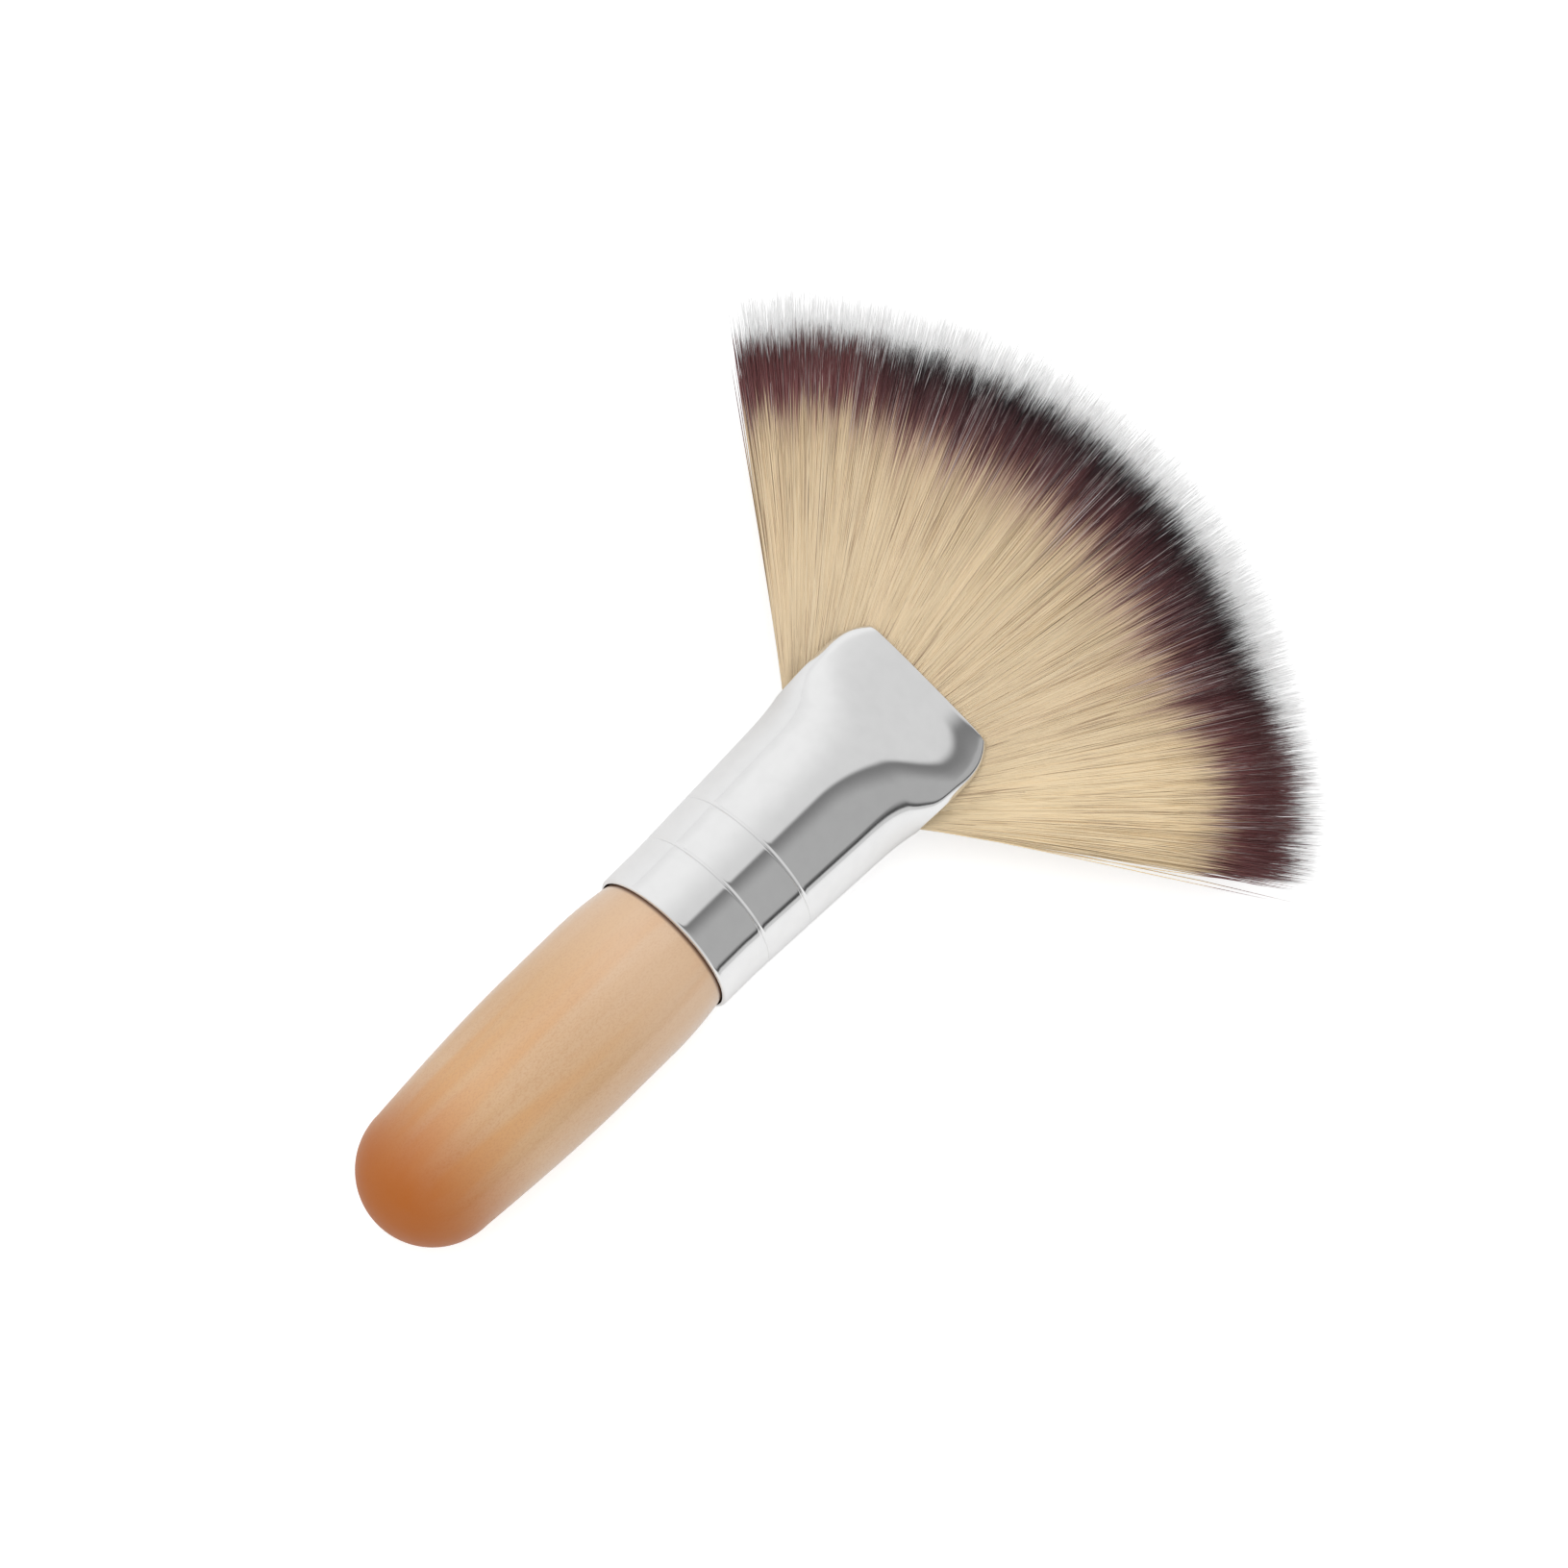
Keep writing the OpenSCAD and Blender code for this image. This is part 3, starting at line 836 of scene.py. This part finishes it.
def strand_map(rng, to_end, across):
    """The map of each face's corners. It runs along a filament by its distance to the fan's end, less a
    chance shift of the dye, and across by its place in the fan, with a narrow strip for each side."""
    count, nodes = to_end.shape
    shift = np.clip(rng.normal(DYE_SHIFT, DYE_CHANCE, count), *DYE_SHIFT_LIMITS)[:, None]
    u = 1 - (to_end - shift) / COLOUR_LEN
    v = 0.5 + MAP_HALF * across + rng.normal(0, MAP_CHANCE, count)
    low_v = np.broadcast_to(v[:, None, None] + MAP_STRIP * (np.arange(3) - 1.5), (count, nodes - 1, 3))
    high_v = low_v + MAP_STRIP
    low_u = np.broadcast_to(u[:, :-1, None], low_v.shape)
    high_u = np.broadcast_to(u[:, 1:, None], low_v.shape)
    corners = [(low_u, low_v), (low_u, high_v), (high_u, high_v), (high_u, low_v)]
    quad_uv = np.stack([np.stack(corner, axis=-1) for corner in corners], axis=-2)
    cap_u = np.concatenate([u[:, 0], u[:, -1]])[:, None] * np.ones(3)
    cap_v = np.tile(v, 2)[:, None] + MAP_STRIP * np.array([-1.5, 0.0, 1.5])
    return np.concatenate([quad_uv.reshape(-1, 2), np.stack([cap_u, cap_v], axis=-1).reshape(-1, 2)])


def strand_mesh(name, rng, paths, to_tip, to_end, across):
    """Closed three-sided tapering tubes about the paths, with their own map."""
    rings = strand_rings(rng, paths, to_tip)
    quads, ends = strand_faces(*paths.shape[:2])
    uv = strand_map(rng, to_end, across)
    return mesh_piece(name, laid_down(rings.reshape(-1, 3)), quads, ends, uv)


# The dye's colours, by the distance to the fan's end in millimetres. The grey and black between the white
# tips and the dark brown are partly dye and partly painted shade between the hairs.
DYE_STOPS = [
    (0.0, linear(252, 252, 252)),
    (2.8, linear(242, 243, 243)),
    (3.4, linear(176, 178, 178)),
    (4.0, linear(44, 43, 46)),
    (5.2, linear(62, 36, 40)),
    (8.9, linear(98, 58, 59)),
    (10.6, linear(146, 110, 100)),
    (12.1, linear(190, 162, 140)),
    (15.1, linear(213, 192, 160)),
    (19.1, linear(227, 207, 174)),
]
RAMP_LEN = 20.0

# Zones by the same distance
CLEAR_END = (2.6, 3.8)
EVEN_END = (0.5, 3.5)
RED_START = (3.4, 4.0)
RED_END = (8.5, 12.5)
INNER_START = (6.0, 12.0)
PALE_STRAND_GLINT_END = (10.0, 14.0)
CREAM_START = (10.0, 15.0)
PARTING_SHADE_START = (7.0, 13.0)

# The fan's sides, by the distance from the other side as a share of the map
RIGHT_SIDE = (0.7, 0.88)
LEFT_SIDE = (0.72, 0.87)
FAR_LEFT_SIDE = (0.77, 0.86)

# How far the colours move towards the tips there, and how uneven they are, in millimetres
RIGHT_SHIFT = 2.6
RIGHT_INNER_SHIFT = 1.5
LEFT_INNER_SHIFT = 2.4
OUTER_UNEVEN = 2.4
INNER_UNEVEN = 7.0

CLEAR_GLOW = 0.12
PARTING_SHADE_SCALES = (4, 1400, 0)


def dye_distance(tree, to_end, v, right, left):
    """The distance to the fan's end by which the colour is picked: longer at the fan's sides, so that the
    colours lie nearer the tips there, and uneven from one filament to the next."""
    inner = to_end.step(*INNER_START)
    even = to_end + RIGHT_SHIFT * right + (RIGHT_INNER_SHIFT * right + LEFT_INNER_SHIFT * left) * inner
    chance = tree.noise(v + 3.7, scale=110.0, detail=3.0, roughness=0.65, dimensions="1D") - 0.5
    return even + chance * (OUTER_UNEVEN * even.step(*EVEN_END) + INNER_UNEVEN * inner)


def filament_finish():
    """Dyed filament, coloured by the distance to the fan's end: white, black, dark brown, mauve and cream.
    The black next to the white tips is partly dye and partly painted shade between the hairs. Neighbours
    differ a little in tone and in where the dye ends. Light strands in the dark band are partly undyed
    filaments and partly painted highlights, thin dark lines in the cream are painted shade where the
    hairs part, and the cream on the fan's right side is lighter by painted light. The undyed tips are
    clear, and a faint glow stands for the light that comes through them."""
    material = bpy.data.materials.new("dyed_filament")
    material.cycles.emission_sampling = "NONE"
    tree = Tree(material)
    spot = tree.node("ShaderNodeUVMap", {"uv_map": UV_MAP})
    u, v, _ = tree.parts(spot)
    right = v.step(*RIGHT_SIDE)
    left = (1 - v).step(*LEFT_SIDE)
    far_left = (1 - v).step(*FAR_LEFT_SIDE)
    away = dye_distance(tree, (1 - u) * (COLOUR_LEN / MM), v, right, left)
    ramp = [(place / RAMP_LEN, colour) for place, colour in DYE_STOPS]
    dyed = tree.node("ShaderNodeValToRGB", {"stops": ramp}, {"Fac": away / RAMP_LEN})
    red = right.larger(far_left) * away.step(*RED_START) * (1 - away.step(*RED_END))
    dyed = tree.mix(red * 0.7, dyed, linear(132, 80, 80))
    # Light strands in the dark band: partly undyed filaments, partly painted highlights on the hairs.
    bare_and_glint_noise = tree.noise(v + 5.3, scale=900.0, detail=1.0, dimensions="1D")
    pale_strand_glint = bare_and_glint_noise.step(0.63, 0.68) * (1 - away.step(*PALE_STRAND_GLINT_END))
    dyed = tree.mix(pale_strand_glint * 0.62, dyed, linear(226, 216, 214))
    cream = away.step(*CREAM_START)
    tone = tree.noise(v, scale=520.0, detail=1.0, roughness=0.6, dimensions="1D")
    dyed = tree.mix(tone.step(0.4, 0.7) * cream * 0.4, dyed, linear(216, 188, 146))
    broad = tree.noise(v + 9.1, scale=22.0, detail=1.0, dimensions="1D")
    dyed = tree.mix(broad.step(0.4, 0.7) * cream * 0.3, dyed, linear(238, 214, 178))
    # Painted light: the cream on the fan's right side is made lighter.
    dyed = tree.mix(right * cream * 0.6, dyed, linear(248, 226, 186))
    # Painted shade: thin dark lines in the cream where the hairs part.
    parting_shade_noise = tree.noise(tree.stretched(spot, PARTING_SHADE_SCALES), 1.0, detail=0.0, dimensions="2D")
    dark = parting_shade_noise.step(0.72, 0.76) * away.step(*PARTING_SHADE_START)
    dyed = tree.mix(dark * 0.65, dyed, linear(128, 88, 62))
    clear = 1 - away.step(*CLEAR_END)
    glow = tree.mix(clear * CLEAR_GLOW, (0, 0, 0), (1, 1, 1))
    tree.surface(Base_Color=dyed, Roughness=0.42, Emission_Color=glow, Emission_Strength=1.0)
    return material


# The packed middle of the tuft

HEART_WIDTH = 0.9
HEART_POWER = 0.5
HEART_BELOW_NOTCH = 1.2 * MM
HEART_END = 8.5 * MM
HEART_ROUND = 4 * MM
HEART_ROOT_SHARE = 0.68
HEART_SHARE = 0.85
HEART_GROWTH = 0.6


def heart_points(rows=40, columns=120):
    """One closed form: rows out along the rays, each a flat superellipse across = sign(cos q)|cos q|^p,
    up = sign(sin q)|sin q|^p, at a share of the fan's half thickness that grows on its way out, and with
    a circle's rounding at its end."""
    q = np.linspace(0, 2 * math.pi, columns, endpoint=False)
    across = HEART_WIDTH * np.sign(np.cos(q)) * np.abs(np.cos(q)) ** HEART_POWER
    up = np.sign(np.sin(q)) * np.abs(np.sin(q)) ** HEART_POWER
    angle = FAN_ANGLE * across
    start = (NOTCH_Y - HEART_BELOW_NOTCH - FAN_CENTRE) / np.cos(angle)
    end = tip_radius(across) - HEART_END
    out = np.linspace(0, 1, rows)[:, None]
    r = start + (end - start) * out
    rounding = np.sqrt(np.clip(1 - np.maximum(0, 1 - (end - r) / HEART_ROUND) ** 2, 0.002, 1))
    x, y = r * np.sin(angle), FAN_CENTRE + r * np.cos(angle)
    share = HEART_ROOT_SHARE + (HEART_SHARE - HEART_ROOT_SHARE) * smooth(out / HEART_GROWTH)
    return np.stack([x, y, share * up * fan_half_t(x, y) * rounding], axis=-1), r, across


def add_heart(material):
    """The heart, with the filaments' own map and finish, so that gaps show more of the same."""
    points, r, across = heart_points()
    rows, columns = points.shape[:2]
    middle = points.mean(axis=1)[[0, -1]]
    quads = grid_quads(rows, columns)
    caps = pole_caps(rows, columns)
    u = 1 - (tip_radius(across) - r) / COLOUR_LEN
    v = np.broadcast_to(0.5 + MAP_HALF * across, u.shape)
    flat = np.concatenate([np.stack([u, v], -1).reshape(-1, 2), [[u[0, 0], 0.5], [u[-1, 0], 0.5]]])
    uv = np.concatenate([flat[quads.ravel()], flat[caps.ravel()]])
    surface = laid_down(np.concatenate([points.reshape(-1, 3), middle]))
    heart = mesh_piece("tuft_heart", surface, quads, caps, uv)
    heart.data.materials.append(material)
    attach(heart, "root")
    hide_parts("bristles")


# The tuft as a whole. Nodes are at these shares of a filament's way out from the ferrule.
SURFACE_NODES = (0.0, 0.22, 0.44, 0.64, 0.83, 1.0)
INNER_NODES = (0.0, 0.4, 0.72, 1.0)

# Name, number of filaments, their lowest and highest layer, face or back, and nodes
TUFTS = [
    ("tuft_face", 5000, 0.88, 1.0, 1, SURFACE_NODES),
    ("tuft_second_face", 5000, 0.88, 1.0, 1, SURFACE_NODES),
    ("tuft_back", 5000, 0.88, 1.0, -1, SURFACE_NODES),
    ("tuft_inner_face", 4600, 0.0, 0.92, 1, INNER_NODES),
    ("tuft_inner_back", 4600, 0.0, 0.92, -1, INNER_NODES),
]


def add_fan():
    rng = np.random.default_rng(SEED)
    material = filament_finish()
    add_heart(material)
    for name, *layer in TUFTS:
        tuft = strand_mesh(name, rng, *strand_paths(rng, *layer))
        tuft.data.materials.append(material)
        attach(tuft, "root")
        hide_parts("bristles")


bpy.context.scene.view_settings.view_transform = "Standard"
add_camera()
add_surroundings()
add_floor()
add_lamps(add_handle())
add_ferrule()
dress_glue_plug()
add_fan()
